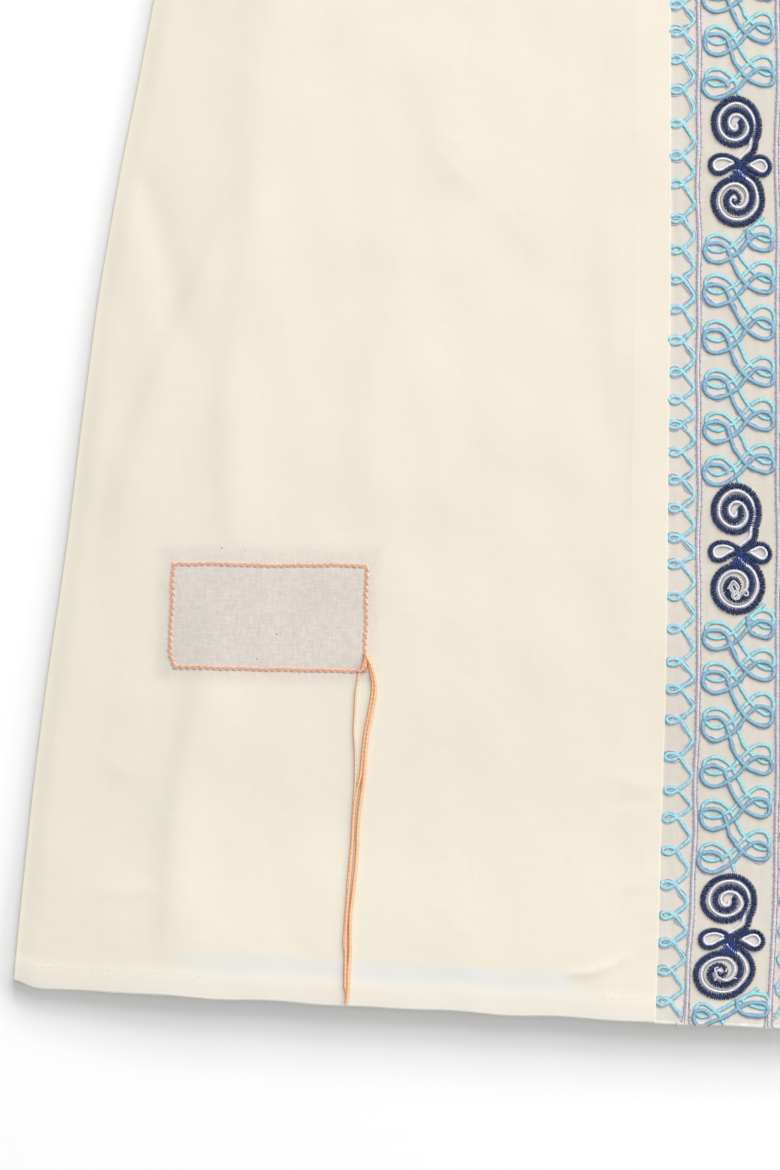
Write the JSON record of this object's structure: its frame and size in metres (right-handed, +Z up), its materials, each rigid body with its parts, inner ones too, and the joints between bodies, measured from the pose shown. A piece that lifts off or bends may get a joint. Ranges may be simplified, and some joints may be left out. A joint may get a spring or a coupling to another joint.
{
  "type": "kaftan",
  "caption": "Knee-length cotton kaftan laid out flat, front up, with a scroll-embroidered centre band and a sewn-on patch on the skirt.",
  "frame": {"origin": "under the middle of the laid-out garment, on the plane it rests on", "axes": "+Z up out of the front, +Y from the hem to the neck, +X to the viewer's right"},
  "size_m": [1.29, 0.8927, 0.0096],
  "materials": {
    "voile": "cream cotton voile, fine plain weave, matt",
    "band_cloth": "greige plain weave, matt",
    "binding_cloth": "cream bias strip, matt",
    "patch_cloth": "greige plain weave, coarser, matt",
    "orange_thread": "twisted sewing thread with a soft sheen",
    "navy_cord": "dark blue embroidery cord, slight sheen"
  },
  "bodies": {
    "root": {"back_panel": "voile", "front_left": "voile", "front_right": "voile", "sleeve_left": "voile", "sleeve_right": "voile", "centre_band": "band_cloth", "neck_binding": "binding_cloth", "patch": "patch_cloth", "thread_tail": "orange_thread", "thread_strand": "orange_thread", "scroll_1": "navy_cord", "scroll_2": "navy_cord", "scroll_3": "navy_cord", "scroll_4": "navy_cord", "scroll_5": "navy_cord", "leaf_1_left": "navy_cord", "leaf_1_right": "navy_cord", "leaf_2_left": "navy_cord", "leaf_2_right": "navy_cord", "leaf_3_left": "navy_cord", "leaf_3_right": "navy_cord", "leaf_4_left": "navy_cord", "leaf_4_right": "navy_cord", "leaf_5_left": "navy_cord", "leaf_5_right": "navy_cord"}
  },
  "joints": []
}
